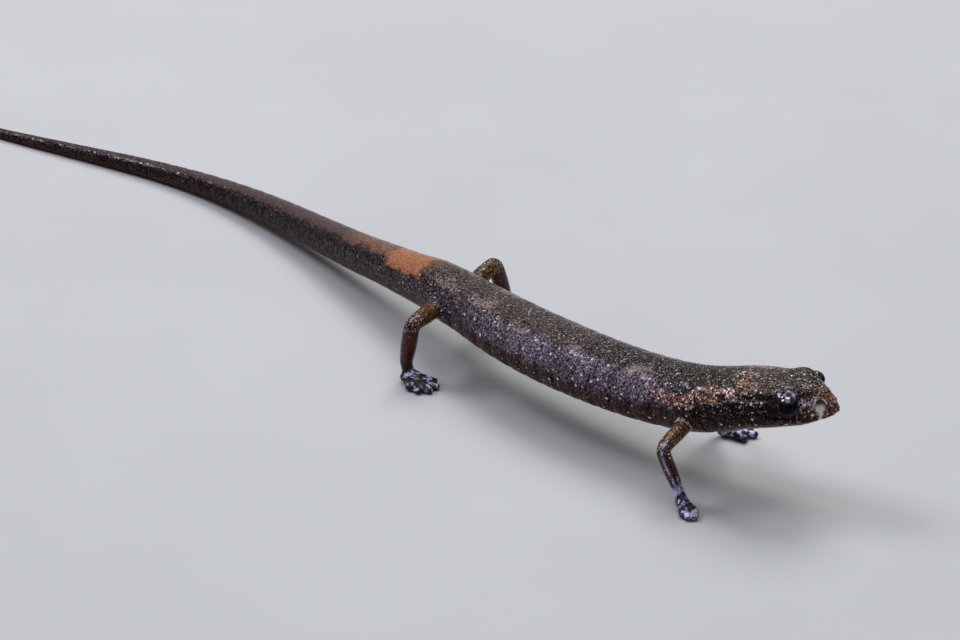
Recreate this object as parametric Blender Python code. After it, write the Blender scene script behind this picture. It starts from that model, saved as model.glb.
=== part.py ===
"""A small slender salamander walking with its head raised, at life size.

Lengths are in millimetres and become metres when a mesh is made.
+X runs from the tail to the snout, +Y to the animal's left, +Z up, and the floor is at z = 0.
"""
import math

import bmesh
import bpy
import numpy as np
from mathutils import Vector

MM = 0.001
GAP = 0.3
EYE_GAP = 0.06

# The body along its own curve. Each station gives the distance from the snout, the heading in
# degrees, the height of the axis, half the width, and how far the back and belly lie from the axis.
STATIONS = (
    (0.0, 17, 4.94, 0.00, 0.00, 0.00),
    (0.04, 17, 4.94, 0.19, 0.16, 0.10),
    (0.15, 17, 4.93, 0.36, 0.33, 0.17),
    (0.4, 17, 4.93, 0.60, 0.55, 0.28),
    (0.7, 16.5, 4.92, 0.86, 0.76, 0.43),
    (1.0, 16, 4.92, 1.09, 0.92, 0.61),
    (1.4, 15.5, 4.93, 1.31, 1.06, 0.82),
    (2.0, 15, 4.94, 1.53, 1.12, 1.00),
    (3.2, 15, 4.90, 1.82, 1.03, 1.30),
    (4.4, 15, 4.72, 1.95, 1.04, 1.46),
    (5.6, 13, 4.42, 1.80, 1.12, 1.66),
    (6.8, 9, 4.08, 1.60, 1.25, 1.68),
    (8.2, 4, 3.75, 1.62, 1.38, 1.60),
    (11.2, 0, 3.40, 1.70, 1.42, 1.54),
    (15.2, -4, 3.20, 1.75, 1.42, 1.52),
    (19.2, -9, 3.08, 1.65, 1.38, 1.44),
    (22.7, -12, 3.02, 1.42, 1.28, 1.30),
    (25.2, -13, 2.88, 1.32, 1.20, 1.20),
    (27.4, -13, 2.55, 1.18, 1.10, 1.05),
    (29.7, -13, 2.22, 1.07, 1.02, 0.95),
    (33.2, -14, 1.70, 0.95, 0.93, 0.88),
    (37.2, -12, 1.24, 0.84, 0.82, 0.80),
    (41.2, -7, 0.92, 0.72, 0.70, 0.69),
    (44.7, -1, 0.70, 0.60, 0.57, 0.60),
    (48.2, 7, 0.50, 0.50, 0.49, 0.53),
    (52.2, 13, 0.38, 0.42, 0.41, 0.42),
    (56.2, 13, 0.29, 0.33, 0.33, 0.33),
    (60.2, 10, 0.20, 0.25, 0.25, 0.24),
    (64.2, 6, 0.12, 0.14, 0.14, 0.15),
    (65.2, 6, 0.10, 0.00, 0.00, 0.00),
)
LENGTH = STATIONS[-1][0]
HIP_STATION = 24.2
HIP_PLACE = (8.14, -0.17)
ROUNDNESS = 2.2
TRACE_STEP = 0.05

# The nodes of the body, each with its first and last station and the spacing of its rings.
BODY_PARTS = {
    "head": (0.0, 5.15, 0.27),
    "neck": (5.15, 6.35, 0.30),
    "torso": (6.35, 21.8, 0.3),
    "hips": (21.8, 27.2, 0.54),
    "tail_1": (27.2, 35.2, 0.95),
    "tail_2": (35.2, 44.2, 1.0),
    "tail_3": (44.2, 54.2, 1.0),
    "tail_4": (54.2, LENGTH, 0.9),
}
BODY_SIDES = 26
TAIL_SIDES = 20

# Costal grooves on the flank, and the fold across the throat
GROOVES = 13
FIRST_GROOVE, LAST_GROOVE = 8.6, 22.1
GROOVE_DEPTH, GROOVE_WIDTH, GROOVE_FADE = 0.10, 0.17, 1.5
FOLD_STATION, FOLD_DEPTH, FOLD_WIDTH, FOLD_TOP = 6.1, 0.10, 0.18, 0.3
THINNEST_WITH_RELIEF = 0.3

# The eye: its station, how far out and up from the axis it lies, and the lids that swell round it
EYE_STATION, EYE_OUT, EYE_UP, EYE_RADIUS = 1.86, 1.42, 0.46, 0.44
EYE_LOOK = (0.55, 0.78, 0.30)
LID_RADIUS, LID_BACK, LID_OPENING = 0.62, 0.13, 0.40
BROW_BACK, BROW_ACROSS, BROW_REACH, BROW_RISE = 0.25, 0.68, 0.62, 0.30

# The nostril cup with its raised rim, and the groove from it to the lip
NOSTRIL_STATION, NOSTRIL_ANGLE = 0.60, 31
NOSTRIL_LOOK = (0.55, 0.72, 0.42)
NOSTRIL_RADIUS, RIM_RING, RIM_THICK = 0.24, 0.28, 0.07
NOSTRIL_OUT = 0.06
LIP_GROOVE_RADIUS, LIP_GROOVE_START, LIP_GROOVE_OUT = 0.06, 0.15, 0.03

# The line of the mouth, higher under the snout and finer towards its corners
MOUTH_DROP, MOUTH_RADIUS, MOUTH_FRONT, MOUTH_END = 0.20, 0.06, 0.08, 3.6
MOUTH_TIP_SHARE, MOUTH_LEVEL_FROM = 0.5, 1.2
MOUTH_PLACES, MOUTH_SPACING = 9, 1.6
MOUTH_CORNER, MOUTH_GROWTH = 0.35, 0.25

# The swellings of the trunk where the legs grow: station, height on the section, reach and rise
SHOULDER = (7.05, -0.15, 0.75, 0.12)
HIP = (23.8, -0.10, 0.95, 0.14)
SWELL_HEIGHT = 1.5

# Each leg: its station, its side, and its joints as distances forward, outward and up.
LEGS = {
    "right_arm": (7.8, -1, ((0.9, 0.4, 3.35), (1.3, 3.5, 2.85), (1.65, 2.75, 0.75), (2.2, 3.05, 0.27))),
    "left_arm": (7.8, 1, ((0.9, 0.4, 3.35), (-0.8, 3.0, 2.9), (-0.9, 3.5, 0.75), (-0.45, 3.85, 0.27))),
    "right_leg": (24.6, -1, ((0.8, 0.4, 2.85), (2.6, 3.5, 3.1), (1.9, 3.42, 0.72), (2.4, 3.4, 0.27))),
    "left_leg": (24.6, 1, ((0.8, 0.4, 2.85), (-0.3, 3.0, 3.45), (-0.7, 4.0, 0.8), (-0.35, 4.35, 0.27))),
}
LEG_PARTS = {"arm": ("upper_arm", "forearm", "hand"), "leg": ("thigh", "shank", "foot")}
# Radii at the root, the middle joint and the ankle or wrist, and the swelling of the muscles
LEG_RADII = {"arm": (0.36, 0.32, 0.26), "leg": (0.38, 0.37, 0.29)}
MUSCLE = {"arm": 0.04, "leg": 0.06}
BEND_LENGTH, BEND_PLACES, BEND_SHARE = 0.38, 5, 0.45
ANKLE_CUT = 0.45
LEG_SIDES = 12
LEG_RING_STEP = 0.3
TRUNK_BEFORE, TRUNK_AFTER, TRUNK_STEP = 4.0, 3.0, 0.5

# Hands and feet: half the width, length and thickness of the palm, then the digits
PALM = {"arm": (0.36, 0.50, 0.25), "leg": (0.58, 0.58, 0.27)}
DIGIT_LENGTHS = {"arm": (0.55, 0.85, 0.95, 0.65), "leg": (0.50, 0.85, 1.05, 1.00, 0.65)}
DIGIT_FAN = {"right_arm": 40, "left_arm": 92, "right_leg": 84, "left_leg": 96}
DIGIT_HEADING = {"right_arm": 34, "left_arm": 46, "right_leg": -2, "left_leg": 46}
DIGIT_RADIUS, DIGIT_TIP, DIGIT_HEIGHT = 0.25, 0.17, 0.20
DIGIT_START, KNUCKLE_SHARE, TIP_HEIGHT, TIP_ROUND = 0.25, 0.3, 0.8, 0.35
# Thickness at the root and knuckle as shares of the digit's, then past it as shares of the tip's
DIGIT_ROOT_SHARES, DIGIT_TIP_SHARES = (0.9, 1.0), (1.25, 0.9, 0.4)
DIGIT_SIDES = 7

# The block under the floor that cuts the soles flat, and the rings at the two ends of the body
FLOOR_LOW, FLOOR_HIGH = (-60, -30, -5), (60, 30, 0)
SNOUT_STATIONS, SNOUT_END, TAIL_END = 3, 0.62, 0.25
CREASE = 50

COLOURS = {
    "skin": ((0.075, 0.055, 0.050), 0.30),
    "tail_base": ((0.30, 0.115, 0.050), 0.32),
    "tail": ((0.045, 0.036, 0.036), 0.30),
    "limb": ((0.17, 0.070, 0.035), 0.32),
    "shank": ((0.065, 0.022, 0.018), 0.28),
    "foot": ((0.050, 0.045, 0.060), 0.28),
    "eye": ((0.006, 0.006, 0.007), 0.05),
}


def clear_scene():
    for obj in list(bpy.data.objects):
        bpy.data.objects.remove(obj)


def through(column, distance):
    """Value of a station column at a distance, on a monotone cubic so that nothing bulges between."""
    x = np.array([row[0] for row in STATIONS])
    y = np.array([row[column] for row in STATIONS])
    width = np.diff(x)
    slope = np.diff(y) / width
    tangent = np.concatenate(([slope[0]], np.zeros(len(x) - 2), [slope[-1]]))
    for i in range(1, len(x) - 1):
        before, after = slope[i - 1], slope[i]
        if before * after > 0:
            w0 = 2 * width[i] + width[i - 1]
            w1 = width[i] + 2 * width[i - 1]
            tangent[i] = (w0 + w1) / (w0 / before + w1 / after)
    k = np.clip(np.searchsorted(x, distance, side="right") - 1, 0, len(width) - 1)
    t = (distance - x[k]) / width[k]
    start = (1 + 2 * t) * (1 - t) ** 2 * y[k] + t * (1 - t) ** 2 * width[k] * tangent[k]
    return start + t * t * (3 - 2 * t) * y[k + 1] + t * t * (t - 1) * width[k] * tangent[k + 1]


def trace_spine():
    """Follows the headings and heights back from the snout, so that the hip lies at its place."""
    distance = np.arange(0, LENGTH + TRACE_STEP / 2, TRACE_STEP)
    heading = np.radians(through(1, distance))
    height = through(2, distance)
    pitch = np.gradient(height, distance)
    level = np.sqrt(1 - pitch ** 2)
    x = -np.concatenate(([0], np.cumsum((np.cos(heading) * level)[:-1] * TRACE_STEP)))
    y = -np.concatenate(([0], np.cumsum((np.sin(heading) * level)[:-1] * TRACE_STEP)))
    x += HIP_PLACE[0] - np.interp(HIP_STATION, distance, x)
    y += HIP_PLACE[1] - np.interp(HIP_STATION, distance, y)
    return distance, x, y, height, heading, pitch


SPINE = trace_spine()


def axis_point(s):
    return np.array([np.interp(s, SPINE[0], SPINE[k]) for k in (1, 2, 3)])


def axis_frame(s):
    """Forward, left and up of the body at a station."""
    heading, pitch = np.interp(s, SPINE[0], SPINE[4]), -np.interp(s, SPINE[0], SPINE[5])
    level = math.sqrt(1 - pitch * pitch)
    forward = np.array([math.cos(heading) * level, math.sin(heading) * level, pitch])
    left = np.array([-math.sin(heading), math.cos(heading), 0.0])
    return forward, left, np.cross(forward, left)


def body_place(s, forward, out, up):
    """A place given by distances from the axis at a station."""
    f, l, u = axis_frame(s)
    return axis_point(s) + f * forward + l * out + u * up


def bump(distance, width):
    return math.exp(-(distance / width) ** 2)


def relief(s, across, above):
    """How far the skin stands out of the plain section: grooves, the throat fold and the brows."""
    depth = 0.0
    spacing = (LAST_GROOVE - FIRST_GROOVE) / (GROOVES - 1)
    nearest = round((s - FIRST_GROOVE) / spacing)
    if 0 <= nearest < GROOVES:
        on_flank = abs(across) ** GROOVE_FADE
        depth -= GROOVE_DEPTH * on_flank * bump(s - FIRST_GROOVE - nearest * spacing, GROOVE_WIDTH)
    if above < FOLD_TOP:
        depth -= FOLD_DEPTH * (FOLD_TOP - above) * bump(s - FOLD_STATION, FOLD_WIDTH)
    if above > 0:
        aside = (abs(across) - BROW_ACROSS) * EYE_OUT / BROW_ACROSS
        offset = math.hypot(s - EYE_STATION - BROW_BACK, aside)
        depth += BROW_RISE * bump(offset, BROW_REACH)
    for station, height, reach, rise in (SHOULDER, HIP):
        depth += rise * abs(across) * bump(math.hypot(s - station, SWELL_HEIGHT * (above - height)), reach)
    return depth


def body_ring(s, sides, grown=0.0):
    """One closed ring of skin, with a superellipse for its plain section."""
    half, rise, drop = (float(through(k, s)) for k in (3, 4, 5))
    power = 2 / ROUNDNESS
    points = []
    for angle in np.linspace(0, 2 * math.pi, sides, endpoint=False):
        across = math.copysign(abs(math.cos(angle)) ** power, math.cos(angle))
        above = math.copysign(abs(math.sin(angle)) ** power, math.sin(angle))
        extra = grown + (relief(s, across, above) if half > THINNEST_WITH_RELIEF else 0.0)
        out = half * across + extra * math.cos(angle)
        up = (rise if above > 0 else drop) * above + extra * math.sin(angle)
        points.append(body_place(s, 0, out, up))
    return points


def make_object(name, points, faces):
    """A mesh object in metres with its faces pointing out."""
    mesh = bpy.data.meshes.new(name)
    mesh.from_pydata([Vector(p) * MM for p in points], [], faces)
    shape = bmesh.new()
    shape.from_mesh(mesh)
    bmesh.ops.triangulate(shape, faces=shape.faces)
    bmesh.ops.recalc_face_normals(shape, faces=shape.faces)
    shape.to_mesh(mesh)
    shape.free()
    obj = bpy.data.objects.new(name, mesh)
    bpy.context.scene.collection.objects.link(obj)
    return obj


def loft(name, rings, start=None, end=None):
    """A closed skin over rings of equal count, closed at each end with a fan about one point."""
    sides = len(rings[0])
    points = [p for ring in rings for p in ring]
    faces = []
    for r in range(len(rings) - 1):
        for i in range(sides):
            j = (i + 1) % sides
            faces.append((r * sides + i, r * sides + j, (r + 1) * sides + j, (r + 1) * sides + i))
    for first, tip in ((0, start), (len(rings) - 1, end)):
        ring = rings[first]
        points.append(np.mean(ring, axis=0) if tip is None else tip)
        centre = len(points) - 1
        faces += [(first * sides + i, first * sides + (i + 1) % sides, centre) for i in range(sides)]
    return make_object(name, points, faces)


def unit(v):
    return np.array(v, float) / np.linalg.norm(v)


def ring_round(centre, along, side, radius, sides):
    """A circle square to a direction, its first point towards one side."""
    along = unit(along)
    side = unit(side - along * np.dot(side, along))
    rise = np.cross(along, side)
    angles = np.linspace(0, 2 * math.pi, sides, endpoint=False)
    return [centre + radius * (side * math.cos(a) + rise * math.sin(a)) for a in angles]


def ball(name, centre, radii, axes=((1, 0, 0), (0, 1, 0), (0, 0, 1)), across=16, down=10):
    """An ellipsoid on three axes, as rings from pole to pole."""
    axes = [np.array(a, float) for a in axes]
    rings = []
    for lean in np.linspace(0, math.pi, down + 1)[1:-1]:
        ring = []
        for turn in np.linspace(0, 2 * math.pi, across, endpoint=False):
            weights = (math.cos(lean), math.sin(lean) * math.cos(turn), math.sin(lean) * math.sin(turn))
            ring.append(centre + sum(axes[k] * radii[k] * weights[k] for k in range(3)))
        rings.append(ring)
    return loft(name, rings, centre + axes[0] * radii[0], centre - axes[0] * radii[0])


def torus(name, centre, facing, ring_radius, thick, around=20, sides=8):
    """A round rim square to the way it faces."""
    rim = ring_round(centre, facing, np.array([0.0, 0.0, 1.0]), ring_radius, around)
    facing = unit(facing)
    points = []
    for p in rim:
        outward = (p - centre) / ring_radius
        for a in np.linspace(0, 2 * math.pi, sides, endpoint=False):
            points.append(p + thick * (outward * math.cos(a) + facing * math.sin(a)))
    faces = []
    for r in range(around):
        for i in range(sides):
            j, n = (i + 1) % sides, (r + 1) % around
            faces.append((r * sides + i, r * sides + j, n * sides + j, n * sides + i))
    return make_object(name, points, faces)


def tube(name, path, radii, sides):
    """A round tube along a path of places without twist, its ends closed with flat faces."""
    path = [np.array(p, float) for p in path]
    rings = []
    start = unit(path[1] - path[0])
    side = np.cross(start, (0.0, 0.0, 1.0) if abs(start[2]) < 0.9 else (1.0, 0.0, 0.0))
    for i, place in enumerate(path):
        along = path[min(i + 1, len(path) - 1)] - path[max(i - 1, 0)]
        rings.append(ring_round(place, along, side, radii[i], sides))
        side = rings[-1][0] - place
    return loft(name, rings)


def combine(base, others, operation, solver="EXACT"):
    """Joins or cuts with one Boolean on a collection, applies it and removes what it used."""
    group = bpy.data.collections.new("helpers")
    for other in others:
        group.objects.link(other)
        other.hide_render = True
        other.display_type = "WIRE"
    step = base.modifiers.new(operation.lower(), "BOOLEAN")
    step.operation = operation
    step.operand_type = "COLLECTION"
    step.collection = group
    step.solver = solver
    bpy.context.view_layer.update()
    finished = bpy.data.meshes.new_from_object(base.evaluated_get(bpy.context.evaluated_depsgraph_get()))
    base.modifiers.remove(step)
    base.data = finished
    for other in others:
        bpy.data.objects.remove(other)
    bpy.data.collections.remove(group)
    keep_largest(base)


def keep_largest(obj):
    """Leaves only the largest closed surface of a mesh."""
    shape = bmesh.new()
    shape.from_mesh(obj.data)
    bmesh.ops.triangulate(shape, faces=shape.faces)
    left = set(shape.faces)
    surfaces = []
    while left:
        surface, edge_of = set(), [left.pop()]
        while edge_of:
            face = edge_of.pop()
            surface.add(face)
            near = {other for edge in face.edges for other in edge.link_faces} & left
            left -= near
            edge_of += near
        surfaces.append(surface)
    largest = max(surfaces, key=lambda faces: sum(face.calc_area() for face in faces))
    spare = [face for faces in surfaces if faces is not largest for face in faces]
    bmesh.ops.delete(shape, geom=spare, context="FACES")
    shape.to_mesh(obj.data)
    shape.free()


def floor_slab():
    """Everything below the floor, for cutting the soles flat."""
    across, along, up = zip(FLOOR_LOW, FLOOR_HIGH)
    corners = [(x, y, z) for x in across for y in along for z in up]
    faces = [(0, 1, 3, 2), (4, 6, 7, 5), (0, 4, 5, 1), (2, 3, 7, 6), (0, 2, 6, 4), (1, 5, 7, 3)]
    return make_object("floor_slab", corners, faces)


def stations_between(first, last, spacing):
    """Ring places over a part of the body, closer together where the snout is blunt."""
    start = first + (GAP / 2 if first > 0 else 0)
    stop = last - (GAP / 2 if last < LENGTH else 0)
    blunt = [row[0] for row in STATIONS[1:1 + SNOUT_STATIONS]] if first == 0 else []
    start = SNOUT_END if first == 0 else start
    stop = stop - TAIL_END if last == LENGTH else stop
    count = max(2, round((stop - start) / spacing) + 1)
    return blunt + list(np.linspace(start, stop, count))


def body_part(name):
    first, last, spacing = BODY_PARTS[name]
    sides = TAIL_SIDES if name.startswith("tail") else BODY_SIDES
    rings = [body_ring(s, sides) for s in stations_between(first, last, spacing)]
    start = axis_point(0.0) if first == 0 else None
    end = axis_point(LENGTH) if last == LENGTH else None
    return loft(name, rings, start, end)


def head_side(s, angle, side):
    """A place on the plain section of the head and the way it faces."""
    half, rise, drop = (float(through(k, s)) for k in (3, 4, 5))
    a = math.radians(angle)
    power = 2 / ROUNDNESS
    height = rise if angle > 0 else drop
    out = half * math.cos(a) ** power
    up = math.copysign(height * abs(math.sin(a)) ** power, angle)
    return body_place(s, 0, side * out, up)


def eye_centre(side):
    return body_place(EYE_STATION, 0, side * EYE_OUT, EYE_UP)


def eye_look(side):
    f, l, u = axis_frame(EYE_STATION)
    return unit(f * EYE_LOOK[0] + l * side * EYE_LOOK[1] + u * EYE_LOOK[2])


def eye_axes(side):
    """The way an eye looks, with two lines square to it."""
    look = eye_look(side)
    across = unit(np.cross(look, (0, 0, 1)))
    return look, across, np.cross(across, look)


def nostril_place(side):
    return head_side(NOSTRIL_STATION, NOSTRIL_ANGLE, side)


def nostril_look(side):
    f, l, u = axis_frame(NOSTRIL_STATION)
    return unit(f * NOSTRIL_LOOK[0] + l * side * NOSTRIL_LOOK[1] + u * NOSTRIL_LOOK[2])


def mouth_point(s, side):
    """Where the mouth line lies at a station, under the axis."""
    half, drop = float(through(3, s)), float(through(5, s))
    below = MOUTH_DROP * np.interp(s, (0, MOUTH_LEVEL_FROM), (MOUTH_TIP_SHARE, 1))
    share = min(1.0, below / drop)
    out = half * (1 - share ** ROUNDNESS) ** (1 / ROUNDNESS)
    return body_place(s, 0, side * out, -below)


def mouth_line():
    """From one corner of the mouth round the snout to the other."""
    shares = np.linspace(0, 1, MOUTH_PLACES) ** MOUTH_SPACING
    stretch = [MOUTH_FRONT + (MOUTH_END - MOUTH_FRONT) * share for share in shares]
    left = [mouth_point(s, 1) for s in reversed(stretch)]
    right = [mouth_point(s, -1) for s in stretch[1:]]
    return left + right


def finish_head(head):
    """Adds lids and nostril rims, then sinks the sockets, nostrils, lip grooves and mouth line."""
    rims, cuts = [], []
    for side in (-1, 1):
        centre, axes = eye_centre(side), eye_axes(side)
        look = axes[0]
        rims.append(ball("lids", centre - look * LID_BACK, (LID_RADIUS,) * 3, axes, across=20, down=12))
        socket = EYE_RADIUS + EYE_GAP
        cuts.append(ball("socket", centre, (socket,) * 3, axes, across=20, down=10))
        cuts.append(tube("opening", (centre, centre + look), (LID_OPENING,) * 2, 20))
        place, face = nostril_place(side), nostril_look(side)
        rims.append(torus("rim", place, face, RIM_RING, RIM_THICK, 14, 6))
        cuts.append(ball("nostril", place + face * NOSTRIL_OUT, (NOSTRIL_RADIUS,) * 3, across=10, down=6))
        lip = mouth_point(NOSTRIL_STATION, side)
        under = place - axis_frame(NOSTRIL_STATION)[2] * LIP_GROOVE_START + face * LIP_GROOVE_OUT
        cuts.append(tube("lip_groove", (under, lip), (LIP_GROOVE_RADIUS,) * 2, 6))
    path = mouth_line()
    to_corner = [min(i, len(path) - 1 - i) for i in range(len(path))]
    widths = [MOUTH_RADIUS * min(1, MOUTH_CORNER + MOUTH_GROWTH * places) for places in to_corner]
    cuts.append(tube("mouth", path, widths, 6))
    combine(head, rims, "UNION")
    combine(head, cuts[:-1], "DIFFERENCE")
    combine(head, cuts[-1:], "DIFFERENCE")


def make_eye(side):
    name = "eye_left" if side > 0 else "eye_right"
    return ball(name, eye_centre(side), (EYE_RADIUS,) * 3, eye_axes(side))


def leg_joints(leg):
    """Joint places of a leg, from distances level with the floor."""
    station, side, joints = LEGS[leg]
    origin = axis_point(station)
    heading = float(np.interp(station, SPINE[0], SPINE[4]))
    forward = np.array([math.cos(heading), math.sin(heading), 0])
    out = np.array([-math.sin(heading), math.cos(heading), 0]) * side
    origin[2] = 0
    return [origin + forward * a + out * b + np.array([0, 0, c]) for a, b, c in joints]


def bent_path(joints):
    """Places along the straight stretches of a leg with a smooth bend at each inner joint."""
    path = [joints[0]]
    for i in range(1, len(joints) - 1):
        before = joints[i - 1] - joints[i]
        after = joints[i + 1] - joints[i]
        shorter = min(np.linalg.norm(before), np.linalg.norm(after))
        reach = min(BEND_LENGTH, BEND_SHARE * shorter)
        a = joints[i] + before / np.linalg.norm(before) * reach
        b = joints[i] + after / np.linalg.norm(after) * reach
        for t in np.linspace(0, 1, BEND_PLACES):
            path.append(a * (1 - t) ** 2 + joints[i] * 2 * t * (1 - t) + b * t * t)
    path.append(joints[-1])
    return path


def walk(path, distance):
    """The place at a distance along a path."""
    lengths = [np.linalg.norm(b - a) for a, b in zip(path[:-1], path[1:])]
    marks = np.concatenate(([0], np.cumsum(lengths)))
    return np.array([np.interp(distance, marks, [p[k] for p in path]) for k in range(3)])


def path_length(path):
    return sum(np.linalg.norm(b - a) for a, b in zip(path[:-1], path[1:]))


def leg_radius(kind, at, middle, ankle):
    """Thickness along a leg, with a swelling between the joints."""
    share = at / middle if at < middle else min(1, (at - middle) / (ankle - middle))
    swell = MUSCLE[kind] * abs(math.sin(math.pi * share))
    return float(np.interp(at, (0, middle, ankle), LEG_RADII[kind])) + swell


def leg_length_part(name, kind, path, first, last, middle, ankle):
    count = max(3, round((last - first) / LEG_RING_STEP) + 1)
    marks = np.linspace(first, last, count)
    places = [walk(path, at) for at in marks]
    return tube(name, places, [leg_radius(kind, at, middle, ankle) for at in marks], LEG_SIDES)


def add_digits(leg, kind, palm, name):
    """The palm or sole with its digits fanned out on the floor."""
    station, side, _ = LEGS[leg]
    heading = math.radians(float(np.interp(station, SPINE[0], np.degrees(SPINE[4])))
                           + side * DIGIT_HEADING[leg])
    forward = np.array([math.cos(heading), math.sin(heading), 0])
    across = np.array([-math.sin(heading), math.cos(heading), 0])
    half_width, half_length, half_thick = PALM[kind]
    pieces = [ball(name + "_palm", palm, (half_length, half_width, half_thick),
                   (forward, across, (0, 0, 1)), across=14, down=8)]
    lengths = DIGIT_LENGTHS[kind]
    for i, length in enumerate(lengths):
        spread = i / (len(lengths) - 1) * 2 - 1
        turn = -side * spread * math.radians(DIGIT_FAN[leg] / 2)
        direction = forward * math.cos(turn) + across * math.sin(turn)
        root = palm + direction * DIGIT_START
        knuckle = palm + direction * (half_length + KNUCKLE_SHARE * length)
        tip = palm + direction * (half_length + length)
        root[2], knuckle[2], tip[2] = palm[2], DIGIT_HEIGHT, DIGIT_TIP * TIP_HEIGHT
        nearly = tip - direction * DIGIT_TIP * TIP_ROUND
        radii = [DIGIT_RADIUS * share for share in DIGIT_ROOT_SHARES]
        radii += [DIGIT_TIP * share for share in DIGIT_TIP_SHARES]
        places = (root, knuckle, (knuckle + tip) / 2, nearly, tip)
        pieces.append(tube(name + "_digit", places, radii, DIGIT_SIDES))
    return pieces


def grown_trunk(leg):
    """The trunk by a leg's root, larger by the gap, for cutting the root clear of it."""
    station = LEGS[leg][0]
    count = round((TRUNK_BEFORE + TRUNK_AFTER) / TRUNK_STEP) + 1
    marks = np.linspace(station - TRUNK_BEFORE, station + TRUNK_AFTER, count)
    rings = [body_ring(s, BODY_SIDES, GAP) for s in marks]
    return loft("grown_trunk", rings)


def make_leg(leg):
    """Three nodes of one leg, each meeting the next face to face."""
    side, kind = leg.split("_")
    names = [f"{part}_{side}" for part in LEG_PARTS[kind]]
    joints = leg_joints(leg)
    path = bent_path(joints)
    to_middle = 2 + BEND_PLACES // 2
    middle = path_length(path[:to_middle])
    ankle = path_length(path[:to_middle + BEND_PLACES])
    knee_cut = middle - BEND_LENGTH - GAP / 2
    ankle_cut = ankle - ANKLE_CUT
    upper = leg_length_part(names[0], kind, path, 0, knee_cut - GAP / 2, middle, ankle)
    combine(upper, [grown_trunk(leg)], "DIFFERENCE")
    lower = leg_length_part(names[1], kind, path, knee_cut + GAP / 2, ankle_cut - GAP / 2, middle, ankle)
    end = path_length(path)
    foot = leg_length_part(names[2], kind, path, ankle_cut + GAP / 2, end, middle, ankle)
    combine(foot, add_digits(leg, kind, joints[-1], names[2]), "UNION", "MANIFOLD")
    combine(foot, [floor_slab()], "DIFFERENCE")
    return {names[0]: upper, names[1]: lower, names[2]: foot}


def paint(obj, kind):
    """A plain material of its own, and smooth shading over the round forms."""
    colour, roughness = COLOURS[kind]
    material = bpy.data.materials.new(obj.name)
    material.use_nodes = True
    shader = material.node_tree.nodes["Principled BSDF"]
    shader.inputs["Base Color"].default_value = (*colour, 1)
    shader.inputs["Roughness"].default_value = roughness
    shader.inputs["Metallic"].default_value = 0
    obj.data.materials.clear()
    obj.data.materials.append(material)
    obj.data.shade_smooth()
    obj.data.set_sharp_from_angle(angle=math.radians(CREASE))


def finish_for(name):
    if name.startswith("eye"):
        return "eye"
    if name == "tail_1":
        return "tail_base"
    if name.startswith("tail"):
        return "tail"
    if name.startswith(("hand", "foot")):
        return "foot"
    if name.startswith(("shank", "forearm")):
        return "shank"
    if name.startswith(("thigh", "upper_arm")):
        return "limb"
    return "skin"


def main():
    clear_scene()
    nodes = {name: body_part(name) for name in BODY_PARTS}
    finish_head(nodes["head"])
    for name in ("tail_3", "tail_4"):
        combine(nodes[name], [floor_slab()], "DIFFERENCE")
    for side in (-1, 1):
        eye = make_eye(side)
        nodes[eye.name] = eye
    for leg in LEGS:
        nodes.update(make_leg(leg))
    for name, obj in nodes.items():
        paint(obj, finish_for(name))


main()
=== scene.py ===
"""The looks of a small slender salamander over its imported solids, at life size.

Shapes are worked in millimetres and become metres when a piece is finished.
+X runs from the tail to the snout, +Y to the animal's left, +Z up, and the floor is at z = 0.
"""
import math

import bmesh
import bpy
import numpy as np
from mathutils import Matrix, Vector, kdtree


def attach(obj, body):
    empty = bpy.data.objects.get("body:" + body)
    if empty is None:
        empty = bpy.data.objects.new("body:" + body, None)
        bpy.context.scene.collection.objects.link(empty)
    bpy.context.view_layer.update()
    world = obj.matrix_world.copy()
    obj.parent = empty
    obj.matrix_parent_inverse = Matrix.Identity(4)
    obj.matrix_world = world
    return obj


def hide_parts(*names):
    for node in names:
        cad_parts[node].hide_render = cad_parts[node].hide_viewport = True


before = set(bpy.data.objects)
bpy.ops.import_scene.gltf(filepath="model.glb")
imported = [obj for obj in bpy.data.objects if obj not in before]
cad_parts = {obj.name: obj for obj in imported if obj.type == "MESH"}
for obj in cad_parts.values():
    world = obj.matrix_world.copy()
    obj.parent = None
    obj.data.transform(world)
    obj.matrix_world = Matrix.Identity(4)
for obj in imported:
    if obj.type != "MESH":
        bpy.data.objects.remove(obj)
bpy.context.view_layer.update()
MM = 0.001

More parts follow.
